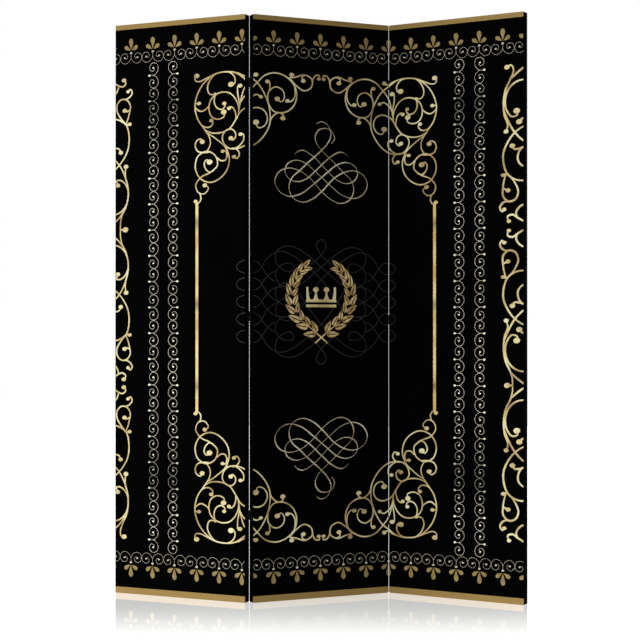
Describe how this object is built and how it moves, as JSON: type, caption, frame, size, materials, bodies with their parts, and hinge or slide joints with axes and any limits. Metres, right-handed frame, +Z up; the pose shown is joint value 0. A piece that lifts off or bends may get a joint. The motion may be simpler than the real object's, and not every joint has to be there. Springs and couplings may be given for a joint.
{
  "type": "folding screen",
  "caption": "Folding screen of tall canvas-covered panels on pine frames, joined edge to edge by small hinges so that it stands in a zigzag and folds flat.",
  "frame": {"origin": "on the floor, under the middle of the standing screen's bounding box", "axes": "+Z up, +X along the screen to the right as seen from its printed front, +Y from the front to the back"},
  "size_m": [1.2216, 0.2704, 1.72],
  "materials": {
    "pine": "planed, unfinished",
    "beech_dowel": "turned, unfinished",
    "printed_canvas": "black printed canvas, matte",
    "gold_print": "gold coloured ink on canvas, satin",
    "back_lining": "plain unbleached cloth, matte",
    "staple_wire": "galvanised wire",
    "black_hinge_steel": "black enamelled steel, satin",
    "black_pin_steel": "blackened steel, satin",
    "black_screw_steel": "blackened steel, satin"
  },
  "bodies": {
    "middle_panel": {"middle_left_stile": "pine", "middle_right_stile": "pine", "middle_top_rail": "pine", "middle_bottom_rail": "pine", "middle_cross_rail": "pine", "middle_dowels": "beech_dowel", "middle_canvas": "printed_canvas", "middle_back_lining": "back_lining", "middle_staples": "staple_wire", "left_hinge_middle_leaf_bottom": "black_hinge_steel", "left_hinge_pin_bottom": "black_pin_steel", "left_hinge_middle_leaf_middle": "black_hinge_steel", "left_hinge_pin_middle": "black_pin_steel", "left_hinge_middle_leaf_top": "black_hinge_steel", "left_hinge_pin_top": "black_pin_steel", "right_hinge_middle_leaf_bottom": "black_hinge_steel", "right_hinge_pin_bottom": "black_pin_steel", "right_hinge_middle_leaf_middle": "black_hinge_steel", "right_hinge_pin_middle": "black_pin_steel", "right_hinge_middle_leaf_top": "black_hinge_steel", "right_hinge_pin_top": "black_pin_steel", "middle_panel_left_hinge_screws": "black_screw_steel", "middle_panel_right_hinge_screws": "black_screw_steel"},
    "left_panel": {"left_left_stile": "pine", "left_right_stile": "pine", "left_top_rail": "pine", "left_bottom_rail": "pine", "left_cross_rail": "pine", "left_dowels": "beech_dowel", "left_canvas": "printed_canvas", "left_back_lining": "back_lining", "left_staples": "staple_wire", "left_hinge_outer_leaf_bottom": "black_hinge_steel", "left_hinge_outer_leaf_middle": "black_hinge_steel", "left_hinge_outer_leaf_top": "black_hinge_steel", "left_panel_right_hinge_screws": "black_screw_steel"},
    "right_panel": {"right_left_stile": "pine", "right_right_stile": "pine", "right_top_rail": "pine", "right_bottom_rail": "pine", "right_cross_rail": "pine", "right_dowels": "beech_dowel", "right_canvas": "printed_canvas", "right_back_lining": "back_lining", "right_staples": "staple_wire", "right_hinge_outer_leaf_bottom": "black_hinge_steel", "right_hinge_outer_leaf_middle": "black_hinge_steel", "right_hinge_outer_leaf_top": "black_hinge_steel", "right_panel_left_hinge_screws": "black_screw_steel"}
  },
  "joints": [
    {"name": "left_fold", "type": "hinge", "parent": "middle_panel", "child": "left_panel", "pos_m": [-0.19832, -0.068, 0.86], "axis": [0, 0, 1], "range_deg": [-127, 53]},
    {"name": "right_fold", "type": "hinge", "parent": "middle_panel", "child": "right_panel", "pos_m": [0.218, 0.10607, 0.86], "axis": [0, 0, 1], "range_deg": [-121.5, 58.5]}
  ]
}
